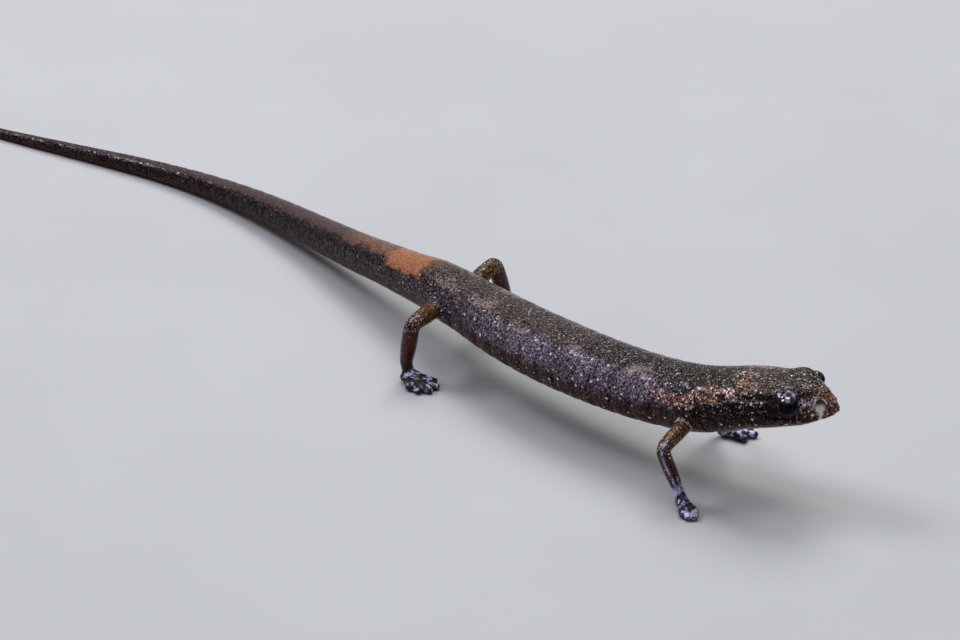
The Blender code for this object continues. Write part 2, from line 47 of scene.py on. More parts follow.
# The body along its own curve. Each station gives the distance from the snout, the heading in
# degrees, the height of the axis, half the width, and how far the back and belly lie from the axis.
STATIONS = (
    (0.0, 17, 4.94, 0.00, 0.00, 0.00),
    (0.04, 17, 4.94, 0.19, 0.16, 0.10),
    (0.15, 17, 4.93, 0.36, 0.33, 0.17),
    (0.4, 17, 4.93, 0.60, 0.55, 0.28),
    (0.7, 16.5, 4.92, 0.86, 0.76, 0.43),
    (1.0, 16, 4.92, 1.09, 0.92, 0.61),
    (1.4, 15.5, 4.93, 1.31, 1.06, 0.82),
    (2.0, 15, 4.94, 1.53, 1.12, 1.00),
    (3.2, 15, 4.90, 1.82, 1.03, 1.30),
    (4.4, 15, 4.72, 1.95, 1.04, 1.46),
    (5.6, 13, 4.42, 1.80, 1.12, 1.66),
    (6.8, 9, 4.08, 1.60, 1.25, 1.68),
    (8.2, 4, 3.75, 1.62, 1.38, 1.60),
    (11.2, 0, 3.40, 1.70, 1.42, 1.54),
    (15.2, -4, 3.20, 1.75, 1.42, 1.52),
    (19.2, -9, 3.08, 1.65, 1.38, 1.44),
    (22.7, -12, 3.02, 1.42, 1.28, 1.30),
    (25.2, -13, 2.88, 1.32, 1.20, 1.20),
    (27.4, -13, 2.55, 1.18, 1.10, 1.05),
    (29.7, -13, 2.22, 1.07, 1.02, 0.95),
    (33.2, -14, 1.70, 0.95, 0.93, 0.88),
    (37.2, -12, 1.24, 0.84, 0.82, 0.80),
    (41.2, -7, 0.92, 0.72, 0.70, 0.69),
    (44.7, -1, 0.70, 0.60, 0.57, 0.60),
    (48.2, 7, 0.50, 0.50, 0.49, 0.53),
    (52.2, 13, 0.38, 0.42, 0.41, 0.42),
    (56.2, 13, 0.29, 0.33, 0.33, 0.33),
    (60.2, 10, 0.20, 0.25, 0.25, 0.24),
    (64.2, 6, 0.12, 0.14, 0.14, 0.15),
    (65.2, 6, 0.10, 0.00, 0.00, 0.00),
)
LENGTH = STATIONS[-1][0]
HIP_STATION, HIP_PLACE = 24.2, (8.14, -0.17)
ROUNDNESS = 2.2
TRACE_STEP, LEAST_SIZE = 0.05, 0.05
BODY_SIDES, BODY_STEP, BODY_FROM, BODY_TO = 48, 0.25, 0.7, LENGTH - 0.1
SNOUT_MARKS = (0.01, 0.04, 0.09, 0.15, 0.23, 0.32, 0.42, 0.55)

# Costal grooves on the flank, rings along the tail, and the fold across the throat
GROOVES, FIRST_GROOVE, LAST_GROOVE = 13, 8.6, 22.1
GROOVE_DEPTH, GROOVE_WIDTH, GROOVE_FADE, GROOVE_SLANT = 0.085, 0.13, 1.5, 0.175
TAIL_RING_STEP, TAIL_RING_DEPTH, TAIL_RING_WIDTH = 1.15, 0.022, 0.16
TAIL_RING_FROM, TAIL_RINGS_FULL, TAIL_RINGS_FADE = 27.5, 29.5, (50, 60)
FOLD_STATION, FOLD_DEPTH, FOLD_WIDTH, FOLD_TOP = 6.1, 0.10, 0.15, 0.3

# The line along the cheek, which falls towards the neck, and the low ridge over it
CHEEK_LINE, CHEEK_FALL, CHEEK_FROM, CHEEK_DEPTH, CHEEK_WIDTH = 0.58, 0.06, 2.5, 0.06, 0.09
CHEEK_RISE, CHEEK_FADE = (2.2, 2.9), (5.2, 6.4)
CHEEK_RIDGE, CHEEK_RIDGE_UP, CHEEK_RIDGE_WIDTH = 0.042, 0.22, 0.14

# Swellings at the shoulders and hips: station, level, reach and rise
SWELLINGS = ((7.05, -0.15, 0.75, 0.12), (23.8, -0.10, 0.95, 0.14))
SWELL_HEIGHT = 1.5

# Eyes, lids and brows
EYE_STATION, EYE_OUT, EYE_UP, EYE_RADIUS = 1.86, 1.42, 0.46, 0.44
EYE_LOOK, EYE_SEGMENTS, EYE_RINGS, EYE_FULLNESS, EYE_FULL = (0.55, 0.78, 0.30), 48, 32, 0.02, (0.7, 1)
LID_RADIUS, LID_BACK, LID_OPENING, LID_EDGE = 0.59, 0.26, 0.42, 0.05
LID_WIDE, LID_TALL, LID_TOP_WIDTH, LID_EDGE_WIDTH = 1.02, 0.90, 0.13, 0.045
LID_BLEND, LID_FILLET, LID_TUCK = 0.08, 0.028, 0.07
LID_REACH, LID_FLOOR, RING_FLOOR = 0.944, -0.25, -0.6
BROW_BACK, BROW_ACROSS, BROW_REACH, BROW_RISE, BROW_FOOT = 0.25, 0.68, 0.62, 0.30, (-0.1, 0.25)

# Directions on the face of the eye, along and up, and the dark ring's two radii with what each gains
# behind and below; the ring is dark skin deepened by painted lid shadow
UPPER_FRONT, LOWER_BACK = (0.45, 0.86), (-0.8, -0.6)
RING_INNER, RING_OUTER = (0.54, 0.28), (0.68, 0.36)

# Nostril cups, the groove from each to the lip, and the line of the mouth
NOSTRIL_STATION, NOSTRIL_ANGLE = 0.60, 31
NOSTRIL_LOOK = (0.55, 0.72, 0.42)
CUP_RADIUS, CUP_TALL, CUP_DEPTH, CUP_WALL, CUP_NEAR = 0.26, 1.22, 0.17, 0.7, 0.5
CUP_FLOOR, CUP_FLOOR_FALL = 0.5, (-0.22, 0.16)
RIM_RING, RIM_RISE, RIM_WIDTH = 0.31, 0.06, 0.05
LIP_GROOVE_FOOT, LIP_GROOVE_DEPTH, LIP_GROOVE_WIDTH = 0.22, 0.04, 0.09
LIP_GROOVE_TOP, LIP_GROOVE_NEAR = (0.2, 0.4), 0.4
MOUTH_DROP, MOUTH_FRONT, MOUTH_END, MOUTH_FADE = 0.20, 1.2, 3.7, 0.3
MOUTH_DEPTH, MOUTH_WIDTH, MOUTH_LIFT, MOUTH_LIFT_FROM = 0.08, 0.05, 0.10, 2.4
MOUTH_SAG, MOUTH_SAG_STATION, MOUTH_SAG_LENGTH = 0.05, 1.6, 0.8
LIP_RISE, LIP_WIDTH, LIP_OFF, LOWER_LIP = 0.03, 0.09, 0.13, 0.7

# Each leg: its station, its side, and its joints as distances forward, outward and up.
LEGS = {
    "right_arm": (7.8, -1, ((0.9, 0.4, 3.35), (1.3, 3.5, 2.85), (1.65, 2.75, 0.75), (2.2, 3.05, 0.27))),
    "left_arm": (7.8, 1, ((0.9, 0.4, 3.35), (-0.8, 3.0, 2.9), (-0.9, 3.5, 0.75), (-0.45, 3.85, 0.27))),
    "right_leg": (24.6, -1, ((0.8, 0.4, 2.85), (2.6, 3.5, 3.1), (1.9, 3.42, 0.72), (2.4, 3.4, 0.27))),
    "left_leg": (24.6, 1, ((0.8, 0.4, 2.85), (-0.3, 3.0, 3.45), (-0.7, 4.0, 0.8), (-0.35, 4.35, 0.27))),
}
LEG_RADII = {"arm": (0.36, 0.32, 0.26), "leg": (0.38, 0.37, 0.29)}
MUSCLE = {"arm": 0.04, "leg": 0.06}
BEND_LENGTH, BEND_SHARE, BEND_PLACES = 0.38, 0.45, 9
LEG_SIDES, LEG_STEP, LEG_SAMPLES = 20, 0.12, 120
PALM = {"arm": (0.36, 0.50, 0.25), "leg": (0.58, 0.58, 0.27)}
PALM_SEGMENTS, PALM_RINGS = 28, 16
DIGIT_LENGTHS = {"arm": (0.55, 0.85, 0.95, 0.65), "leg": (0.50, 0.85, 1.05, 1.00, 0.65)}
DIGIT_FAN = {"right_arm": 40, "left_arm": 92, "right_leg": 84, "left_leg": 96}
DIGIT_HEADING = {"right_arm": 34, "left_arm": 46, "right_leg": -2, "left_leg": 46}
DIGIT_RADIUS, DIGIT_TIP, DIGIT_HEIGHT, DIGIT_SIDES, DIGIT_FLATNESS = 0.23, 0.19, 0.20, 12, 0.9
SOLE = 0.0

# What reach says at a leg's root, middle joint, ankle or wrist, and path's end, and along its digits
REACH_AT = (0, 1, 2, 2.4)
DIGITS_FROM, DIGIT_ROOT, DIGIT_SPAN, REACH_EACH = 2.35, 0.3, 1.2, 0.5

# Where the skin is a leg's: outside the body's plain section, between stations, and near the leg
LEG_OUTSIDE, LEGS_FROM, LEGS_TO, LEG_NEAR = (0.08, 0.34), (5.8, 6.4), (29, 30), (1.6, 2.2)

# How finely the skin is remade, smoothed and refined over the head, and where the relief begins
VOXEL, SMOOTHING, HEAD_END, HEAD_DROP = 0.09, 5, 4.4, 1.9
RELIEF_FROM = (0.28, 0.5)

FLESH = [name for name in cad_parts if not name.startswith("eye")]


def only(obj):
    """Makes one object the selected and active one."""
    bpy.ops.object.select_all(action="DESELECT")
    obj.select_set(True)
    bpy.context.view_layer.objects.active = obj


def edit(obj, action="SELECT"):
    """Opens one object's mesh with all of it selected, or none."""
    only(obj)
    bpy.ops.object.mode_set(mode="EDIT")
    bpy.ops.mesh.select_all(action=action)


def apply_modifier(obj, kind, **settings):
    only(obj)
    step = obj.modifiers.new(kind.lower(), kind)
    for name, value in settings.items():
        setattr(step, name, value)
    bpy.ops.object.modifier_apply(modifier=step.name)


def places_of(obj, what="co"):
    """Each vertex's place, or its normal, one row each."""
    flat = np.empty(len(obj.data.vertices) * 3)
    obj.data.vertices.foreach_get(what, flat)
    return flat.reshape(-1, 3)


def move_to(obj, places):
    obj.data.vertices.foreach_set("co", places.ravel())
    obj.data.update()


def unit(v):
    v = np.array(v, float)
    return v / np.linalg.norm(v)


def bump(distance, width):
    return np.exp(-(distance / width) ** 2)


def dots(a, b):
    """The dot product of each pair of rows."""
    return np.einsum("ij,ij->i", a, b)


def ease(low, high, value):
    """Rises smoothly from 0 at low to 1 at high."""
    t = np.clip((value - low) / (high - low), 0, 1)
    return t * t * (3 - 2 * t)


def through(column, distance):
    """Value of a station column at a distance, on a monotone cubic so that nothing bulges between."""
    x = np.array([row[0] for row in STATIONS])
    y = np.array([row[column] for row in STATIONS], float)
    width = np.diff(x)
    slope = np.diff(y) / width
    tangent = np.concatenate(([slope[0]], np.zeros(len(x) - 2), [slope[-1]]))
    for i in range(1, len(x) - 1):
        before, after = slope[i - 1], slope[i]
        if before * after > 0:
            w0 = 2 * width[i] + width[i - 1]
            w1 = width[i] + 2 * width[i - 1]
            tangent[i] = (w0 + w1) / (w0 / before + w1 / after)
    k = np.clip(np.searchsorted(x, distance, side="right") - 1, 0, len(width) - 1)
    t = (distance - x[k]) / width[k]
    start = (1 + 2 * t) * (1 - t) ** 2 * y[k] + t * (1 - t) ** 2 * width[k] * tangent[k]
    return start + t * t * (3 - 2 * t) * y[k + 1] + t * t * (t - 1) * width[k] * tangent[k + 1]


def trace_spine():
    """Follows the headings and heights back from the snout, so that the hip lies at its place."""
    distance = np.arange(0, LENGTH + TRACE_STEP / 2, TRACE_STEP)
    heading = np.radians(through(1, distance))
    height = through(2, distance)
    slope = np.gradient(height, distance)
    level = np.sqrt(1 - slope ** 2)
    rows = []
    for part, place in zip((np.cos(heading), np.sin(heading)), HIP_PLACE):
        row = -np.concatenate(([0], np.cumsum((part * level)[:-1] * TRACE_STEP)))
        rows.append(row + (place - np.interp(HIP_STATION, distance, row)))
    return distance, *rows, height, heading, slope


AXIS_AT, AXIS_X, AXIS_Y, AXIS_HEIGHT, AXIS_HEADING, AXIS_SLOPE = trace_spine()


def axis_points(s):
    """Places on the axis for an array of stations, one row each."""
    return np.stack([np.interp(s, AXIS_AT, row) for row in (AXIS_X, AXIS_Y, AXIS_HEIGHT)], axis=-1)


def heading_at(s):
    return np.interp(s, AXIS_AT, AXIS_HEADING)


def level_frame(heading):
    """Forward and left along the floor."""
    forward = np.array([math.cos(heading), math.sin(heading), 0])
    return forward, np.array([-forward[1], forward[0], 0])


def axis_frames(s):
    """Forward, left and up of the body at each station."""
    heading, rise = np.interp(s, AXIS_AT, AXIS_HEADING), -np.interp(s, AXIS_AT, AXIS_SLOPE)
    level = np.sqrt(1 - rise * rise)
    forward = np.stack([np.cos(heading) * level, np.sin(heading) * level, rise], axis=-1)
    left = np.stack([-np.sin(heading), np.cos(heading), np.zeros_like(heading)], axis=-1)
    return forward, left, np.cross(forward, left)


def body_place(s, forward, out, up):
    """A place given by distances from the axis at a station."""
    f, l, u = axis_frames(s)
    return axis_points(s) + f * forward + l * out + u * up


def body_ring(s):
    """One section of the body, a superellipse with its own rise and drop."""
    half, rise, drop = (through(k, s) for k in (3, 4, 5))
    power = 2 / ROUNDNESS
    ring = []
    for angle in np.linspace(0, 2 * math.pi, BODY_SIDES, endpoint=False):
        across = math.copysign(abs(math.cos(angle)) ** power, math.cos(angle))
        above = math.copysign(abs(math.sin(angle)) ** power, math.sin(angle))
        ring.append(body_place(s, 0, half * across, (rise if above > 0 else drop) * above))
    return ring


def extruded(name, rings, start=None, end=None):
    """A circle extruded along as a straight ribbed tube, closed to a point at each end, then carried
    ring by ring to its own sections."""
    sides = len(rings[0])
    bpy.ops.mesh.primitive_circle_add(vertices=sides, radius=1, rotation=(0, math.pi / 2, 0))
    obj = bpy.context.object
    obj.name = name
    bpy.ops.object.transform_apply()
    edit(obj)
    for _ in rings:
        bpy.ops.mesh.extrude_region_move(TRANSFORM_OT_translate={"value": (1, 0, 0)})
    bpy.ops.mesh.merge(type="CENTER")
    bpy.ops.mesh.select_all(action="DESELECT")
    shape = bmesh.from_edit_mesh(obj.data)
    for vert in shape.verts:
        vert.select = abs(vert.co.x) < 0.5
    shape.select_flush(True)
    bpy.ops.mesh.extrude_region_move(TRANSFORM_OT_translate={"value": (-1, 0, 0)})
    bpy.ops.mesh.merge(type="CENTER")
    bpy.ops.object.mode_set(mode="OBJECT")
    straight = places_of(obj)
    order = np.rint(straight[:, 0]).astype(int)
    turn = np.arctan2(straight[:, 2], straight[:, 1])
    side = np.rint(turn / (2 * math.pi) * sides).astype(int) % sides
    start = np.mean(rings[0], axis=0) if start is None else start
    end = np.mean(rings[-1], axis=0) if end is None else end
    places = np.array(rings)[np.clip(order, 0, len(rings) - 1), side]
    places[order < 0] = start
    places[order >= len(rings)] = end
    move_to(obj, places)
    edit(obj)
    bpy.ops.mesh.normals_make_consistent(inside=False)
    bpy.ops.object.mode_set(mode="OBJECT")
    return obj


def make_trunk():
    """Head, neck, torso and tail in one length."""
    marks = list(SNOUT_MARKS) + list(np.arange(BODY_FROM, BODY_TO, BODY_STEP))
    return extruded("trunk", [body_ring(s) for s in marks], axis_points(0.0), axis_points(LENGTH))


def leg_joints(leg):
    """Joint places of a leg, from distances level with the floor."""
    station, side, joints = LEGS[leg]
    origin = axis_points(station)
    origin[2] = 0
    forward, left = level_frame(heading_at(station))
    return [origin + forward * a + left * side * b + np.array([0, 0, c]) for a, b, c in joints]


def bent_path(joints):
    """Places along the straight stretches of a leg with a smooth bend at each inner joint."""
    path = [joints[0]]
    for i in range(1, len(joints) - 1):
        before = joints[i - 1] - joints[i]
        after = joints[i + 1] - joints[i]
        shorter = min(np.linalg.norm(before), np.linalg.norm(after))
        reach = min(BEND_LENGTH, BEND_SHARE * shorter)
        a = joints[i] + unit(before) * reach
        b = joints[i] + unit(after) * reach
        for t in np.linspace(0, 1, BEND_PLACES):
            path.append(a * (1 - t) ** 2 + joints[i] * 2 * t * (1 - t) + b * t * t)
    path.append(joints[-1])
    return np.array(path)


def marks_along(path):
    steps = np.linalg.norm(np.diff(path, axis=0), axis=1)
    return np.concatenate(([0], np.cumsum(steps)))


def leg_marks(path):
    """Distances along a leg's path to its middle joint, its ankle or wrist, and its end."""
    marks = marks_along(path)
    return marks[1 + BEND_PLACES // 2], marks[1 + BEND_PLACES + BEND_PLACES // 2], marks[-1]


def walk(path, distance):
    """Places at distances along a path."""
    marks = marks_along(path)
    return np.stack([np.interp(distance, marks, path[:, k]) for k in range(3)], axis=-1)


def leg_radius(kind, at, middle, ankle):
    """Thickness along a leg, with a swelling between the joints."""
    share = at / middle if at < middle else min(1, (at - middle) / (ankle - middle))
    swell = MUSCLE[kind] * abs(math.sin(math.pi * share))
    return np.interp(at, (0, middle, ankle), LEG_RADII[kind]) + swell


def round_rings(path, radii, sides, flat=1.0):
    """Circles square to a path without twist, pressed a little flatter from above where asked."""
    rings = []
    start = unit(path[1] - path[0])
    side = np.cross(start, (0.0, 0.0, 1.0) if abs(start[2]) < 0.9 else (1.0, 0.0, 0.0))
    for i, place in enumerate(path):
        along = unit(path[min(i + 1, len(path) - 1)] - path[max(i - 1, 0)])
        side = unit(side - along * np.dot(side, along))
        rise = np.cross(along, side) * flat
        angles = np.linspace(0, 2 * math.pi, sides, endpoint=False)
        rings.append([place + radii[i] * (side * math.cos(a) + rise * math.sin(a)) for a in angles])
    return rings


def make_shank(leg, kind, path):
    """Upper and lower leg in one length, from inside the trunk to the ankle."""
    middle, ankle, end = leg_marks(path)
    marks = np.linspace(0, end, round(end / LEG_STEP) + 1)
    radii = [leg_radius(kind, at, middle, ankle) for at in marks]
    return extruded(leg, round_rings(walk(path, marks), radii, LEG_SIDES))


def make_palm(leg, kind, palm, heading):
    """A palm or sole, rounder in front, set flat on the floor."""
    half_width, half_length, half_thick = PALM[kind]
    bpy.ops.mesh.primitive_uv_sphere_add(segments=PALM_SEGMENTS, ring_count=PALM_RINGS, radius=1,
                                         location=palm, rotation=(0, 0, heading))
    obj = bpy.context.object
    obj.name = leg + "_palm"
    obj.scale = (half_length, half_width, half_thick)
    bpy.ops.object.transform_apply()
    return obj


def make_digit(name, palm, direction, length, half_length):
    """One digit from the palm over its knuckle to a rounded, slightly broader tip. Each of its places
    is a distance from the palm's middle, a height, and a share of the digit's radius."""
    bones = ((0.25, palm[2], 0.92), (half_length * 0.9, palm[2] + 0.02, 1.0),
             (half_length + 0.3 * length, DIGIT_HEIGHT + 0.03, 0.98),
             (half_length + 0.62 * length, DIGIT_HEIGHT - 0.01, 0.86),
             (half_length + 0.85 * length, DIGIT_TIP * 0.86, 0.90),
             (half_length + 0.96 * length, DIGIT_TIP * 0.78, 0.66),
             (half_length + length, DIGIT_TIP * 0.72, 0.30))
    reach, height, share = np.transpose(bones)
    path = palm + np.outer(reach, direction)
    path[:, 2] = height
    return extruded(name, round_rings(path, DIGIT_RADIUS * share, DIGIT_SIDES, DIGIT_FLATNESS))


def make_digits(leg, kind, palm, heading):
    forward, left = level_frame(heading)
    lengths, half_length = DIGIT_LENGTHS[kind], PALM[kind][1]
    pieces = []
    for i, length in enumerate(lengths):
        spread = i / (len(lengths) - 1) * 2 - 1
        turn = -LEGS[leg][1] * spread * math.radians(DIGIT_FAN[leg] / 2)
        direction = forward * math.cos(turn) + left * math.sin(turn)
        pieces.append(make_digit(f"{leg}_digit_{i}", palm, direction, length, half_length))
    return pieces


def make_leg(leg):
    station, side, _ = LEGS[leg]
    kind = leg.split("_")[1]
    joints = leg_joints(leg)
    heading = heading_at(station) + side * math.radians(DIGIT_HEADING[leg])
    pieces = [make_shank(leg, kind, bent_path(joints)), make_palm(leg, kind, joints[-1], heading)]
    return pieces + make_digits(leg, kind, joints[-1], heading)


def join_pieces(name, pieces):
    only(pieces[0])
    for piece in pieces:
        piece.select_set(True)
    bpy.ops.object.join()
    pieces[0].name = pieces[0].data.name = name
    return pieces[0]


def tree_of(points):
    """A search tree that finds the nearest of some points."""
    tree = kdtree.KDTree(len(points))
    for i, point in enumerate(points):
        tree.insert(point, i)
    tree.balance()
    return tree


def nearest_station(places):
    """The station on the axis square to each place."""
    tree = tree_of(axis_points(AXIS_AT))
    s = np.array([AXIS_AT[tree.find(p)[1]] for p in places])
    forward = axis_frames(s)[0]
    back = dots(places - axis_points(s), forward)
    return np.clip(s - back, 0, LENGTH)


def body_lie(places):
    """Station, distance out and up from the axis, and how far outside the plain section."""
    s = nearest_station(places)
    _, left, up = axis_frames(s)
    rel = places - axis_points(s)
    out = dots(rel, left)
    above = dots(rel, up)
    half = np.maximum(through(3, s), LEAST_SIZE)
    tall = np.maximum(np.where(above > 0, through(4, s), through(5, s)), LEAST_SIZE)
    size = (np.abs(out) / half) ** ROUNDNESS + (np.abs(above) / tall) ** ROUNDNESS
    outside = (size ** (1 / ROUNDNESS) - 1) * (half + tall) / 2
    return s, out, above, half, tall, outside


def leg_lie(places):
    """How far along its nearest leg each place is: 1 at the middle joint, 2 at the ankle or wrist, 3 at
    the digits' tips. Also its distance from the middle of the leg, and how much it faces forward."""
    samples, reaches, fronts = [], [], []
    for leg in LEGS:
        path = bent_path(leg_joints(leg))
        middle, ankle, end = leg_marks(path)
        along = np.linspace(0, end, LEG_SAMPLES)
        samples.append(walk(path, along))
        reaches.append(np.interp(along, (0, middle, ankle, end), REACH_AT))
        fronts.append(np.tile(level_frame(heading_at(LEGS[leg][0]))[0], (LEG_SAMPLES, 1)))
    samples, reaches, fronts = (np.concatenate(rows) for rows in (samples, reaches, fronts))
    tree = tree_of(samples)
    found = [tree.find(p) for p in places]
    nearest = np.array([f[1] for f in found])
    distance = np.array([f[2] for f in found])
    reach = reaches[nearest]
    beyond = np.where(reach > DIGITS_FROM, np.clip(distance - DIGIT_ROOT, 0, DIGIT_SPAN) * REACH_EACH, 0)
    aside = places - samples[nearest]
    front = dots(aside, fronts[nearest]) / np.maximum(distance, LEAST_SIZE)
    return reach + beyond, distance, front


def refine_head(skin):
    """Splits the faces over the head once, so that lids, lips and nostrils come out fine."""
    places = places_of(skin)
    end = axis_points(HEAD_END)
    head = (places[:, 0] > end[0]) & (places[:, 2] >= end[2] - HEAD_DROP)
    edit(skin, "DESELECT")
    bpy.ops.mesh.select_mode(type="VERT")
    shape = bmesh.from_edit_mesh(skin.data)
    shape.verts.ensure_lookup_table()
    for i in np.flatnonzero(head):
        shape.verts[i].select = True
    shape.select_flush(True)
    bpy.ops.mesh.subdivide(number_cuts=1)
    bpy.ops.object.mode_set(mode="OBJECT")


def body_relief(s, out, above, half, tall):
    """How far the skin stands out of the plain section of the body."""
    across, height = np.clip(np.abs(out) / half, 0, 1), np.clip(above / tall, -1, 1)
    spacing = (LAST_GROOVE - FIRST_GROOVE) / (GROOVES - 1)
    slanted = s + GROOVE_SLANT * height
    nearest = np.clip(np.rint((slanted - FIRST_GROOVE) / spacing), 0, GROOVES - 1)
    aside = slanted - FIRST_GROOVE - nearest * spacing
    depth = -GROOVE_DEPTH * across ** GROOVE_FADE * bump(aside, GROOVE_WIDTH)
    on_tail = ease(TAIL_RING_FROM, TAIL_RINGS_FULL, s) * (1 - ease(*TAIL_RINGS_FADE, s))
    aside = (s - TAIL_RING_FROM + TAIL_RING_STEP / 2) % TAIL_RING_STEP - TAIL_RING_STEP / 2
    depth -= TAIL_RING_DEPTH * on_tail * across * bump(aside, TAIL_RING_WIDTH)
    depth -= FOLD_DEPTH * np.maximum(FOLD_TOP - height, 0) * bump(s - FOLD_STATION, FOLD_WIDTH)
    offset = np.hypot(s - EYE_STATION - BROW_BACK, (across - BROW_ACROSS) * EYE_OUT / BROW_ACROSS)
    depth += BROW_RISE * bump(offset, BROW_REACH) * ease(*BROW_FOOT, height)
    for station, level, reach, rise in SWELLINGS:
        depth += rise * across * bump(np.hypot(s - station, SWELL_HEIGHT * (height - level)), reach)
    over = above - CHEEK_LINE + CHEEK_FALL * (s - CHEEK_FROM)
    stretch = ease(*CHEEK_RISE, s) * (1 - ease(*CHEEK_FADE, s))
    depth -= CHEEK_DEPTH * stretch * bump(over, CHEEK_WIDTH)
    return depth + CHEEK_RIDGE * stretch * bump(over - CHEEK_RIDGE_UP, CHEEK_RIDGE_WIDTH)


def facing(station, side, look):
    """The way an eye or a nostril looks, given by how far forward, outward and up."""
    f, l, u = axis_frames(station)
    return unit(f * look[0] + l * side * look[1] + u * look[2])


def eye_frame(side):
    """The eye's centre, the way it looks, and the lines along and up its opening."""
    centre, look = body_place(EYE_STATION, 0, side * EYE_OUT, EYE_UP), facing(EYE_STATION, side, EYE_LOOK)
    forward = axis_frames(EYE_STATION)[0]
    along = unit(forward - look * np.dot(forward, look))
    return centre, look, along, np.cross(look, along)


def nostril_frame(side):
    """A nostril's centre on the skin, and the way it looks."""
    half, rise = (through(k, NOSTRIL_STATION) for k in (3, 4))
    angle = math.radians(NOSTRIL_ANGLE)
    power = 2 / ROUNDNESS
    out, up = half * math.cos(angle) ** power, rise * math.sin(angle) ** power
    return body_place(NOSTRIL_STATION, 0, side * out, up), facing(NOSTRIL_STATION, side, NOSTRIL_LOOK)


def shape_lids(places, side):
    """Lids that swell round the eye and turn in under it. The marks say how near each place is to the
    lid's edge and to the lid's rise above and before the eye, and whether the dark ring, partly painted
    lid shadow, covers it."""
    centre, look, along, rise = eye_frame(side)
    rel = places - centre
    height = rel @ look
    wide, tall = rel @ along / LID_WIDE, rel @ rise / LID_TALL
    radius = np.hypot(wide, tall)
    near = (height > LID_FLOOR) & (radius < LID_REACH)
    covered = radius < LID_RADIUS
    lid = np.where(covered, np.sqrt(np.maximum(LID_RADIUS ** 2 - radius ** 2, 0)) - LID_BACK, -1)
    swollen = np.maximum(height, lid) + LID_FILLET * np.exp(-np.abs(height - lid) / LID_BLEND) * covered
    under = np.sqrt(np.maximum(EYE_RADIUS ** 2 - radius ** 2, 0)) - LID_TUCK
    inner = ease(LID_OPENING - LID_EDGE, LID_OPENING + 0.01, radius)
    shaped = np.where(near, swollen * inner + under * (1 - inner), height)
    upper_front = ease(0.0, 0.4, (UPPER_FRONT[1] * tall + UPPER_FRONT[0] * wide) / LID_RADIUS)
    toward_back = (LOWER_BACK[1] * tall + LOWER_BACK[0] * wide) / np.maximum(radius, LEAST_SIZE)
    behind = np.clip(toward_back, 0, 1)
    ring_from, ring_to = (least + gain * behind for least, gain in (RING_INNER, RING_OUTER))
    return places + (shaped - height)[:, None] * look, {
        "lid_edge": bump(radius - LID_OPENING, LID_EDGE_WIDTH) * near,
        "lid_top": bump(radius - LID_RADIUS, LID_TOP_WIDTH) * near * upper_front,
        "eye_ring": (1 - ease(ring_from, ring_to, radius)) * (height > RING_FLOOR)}


def shape_nostril(places, side):
    """A shallow cup with a raised rim. The marks say how deep in the cup each place is, how much it is
    on the cup's lower floor, and how near the rim."""
    centre, look = nostril_frame(side)
    rel = places - centre
    height = rel @ look
    aside = rel - height[:, None] * look
    aside[:, 2] /= CUP_TALL
    radius = np.linalg.norm(aside, axis=1)
    near = np.abs(height) < CUP_NEAR
    cup = np.clip(1 - (radius / CUP_RADIUS) ** 2, 0, 1) * near
    rim = bump(radius - RIM_RING, RIM_WIDTH) * near
    floor = ease(0.0, CUP_FLOOR, cup) * ease(*CUP_FLOOR_FALL, -rel[:, 2])
    moved = places + (RIM_RISE * rim - CUP_DEPTH * ease(0, CUP_WALL, cup))[:, None] * look
    return moved, {"cup": cup, "cup_floor": floor, "rim": rim}


def shape_mouth(places, normals, s, above):
    """The line of the mouth with fuller lips over and under it."""
    drop = MOUTH_DROP * (0.5 + 0.5 * ease(0.0, MOUTH_FRONT, s))
    drop += MOUTH_SAG * bump(s - MOUTH_SAG_STATION, MOUTH_SAG_LENGTH)
    over = above + drop - MOUTH_LIFT * ease(MOUTH_LIFT_FROM, MOUTH_END, s)
    stretch = 1 - ease(MOUTH_END - MOUTH_FADE, MOUTH_END, s)
    line = bump(over, MOUTH_WIDTH) * stretch
    lips = (bump(over - LIP_OFF, LIP_WIDTH) + LOWER_LIP * bump(over + LIP_OFF, LIP_WIDTH)) * stretch
    return places + (LIP_RISE * lips - MOUTH_DEPTH * line)[:, None] * normals, line


def lip_groove(places, normals, side):
    """The groove from the nostril to the edge of the lip."""
    centre, look = nostril_frame(side)
    half, drop = (through(k, NOSTRIL_STATION) for k in (3, 5))
    out = half * (1 - (LIP_GROOVE_FOOT / drop) ** ROUNDNESS) ** (1 / ROUNDNESS)
    foot = body_place(NOSTRIL_STATION, 0, side * out, -LIP_GROOVE_FOOT)
    line = foot - centre
    share = np.clip((places - centre) @ line / np.dot(line, line), 0, 1)
    aside = places - centre - share[:, None] * line
    depth = aside @ look
    distance = np.linalg.norm(aside - depth[:, None] * look, axis=1)
    near = np.abs(depth) < LIP_GROOVE_NEAR
    mark = bump(distance, LIP_GROOVE_WIDTH) * ease(*LIP_GROOVE_TOP, share) * near
    return places - (LIP_GROOVE_DEPTH * mark)[:, None] * normals, {"lip_groove": mark}


def shape_face(places, normals):
    """Lip grooves, lids and nostrils on both sides, and the marks that they leave, by name."""
    marks = {}
    for side in (-1, 1):
        places, groove = lip_groove(places, normals, side)
        places, lids = shape_lids(places, side)
        places, nostril = shape_nostril(places, side)
        for name, mark in {**groove, **lids, **nostril}.items():
            marks[name] = np.maximum(marks.get(name, 0), mark)
    return places, marks


def give_attribute(obj, name, values):
    layer = obj.data.attributes.new(name, "FLOAT", "POINT")
    layer.data.foreach_set("value", values.astype(np.float32))


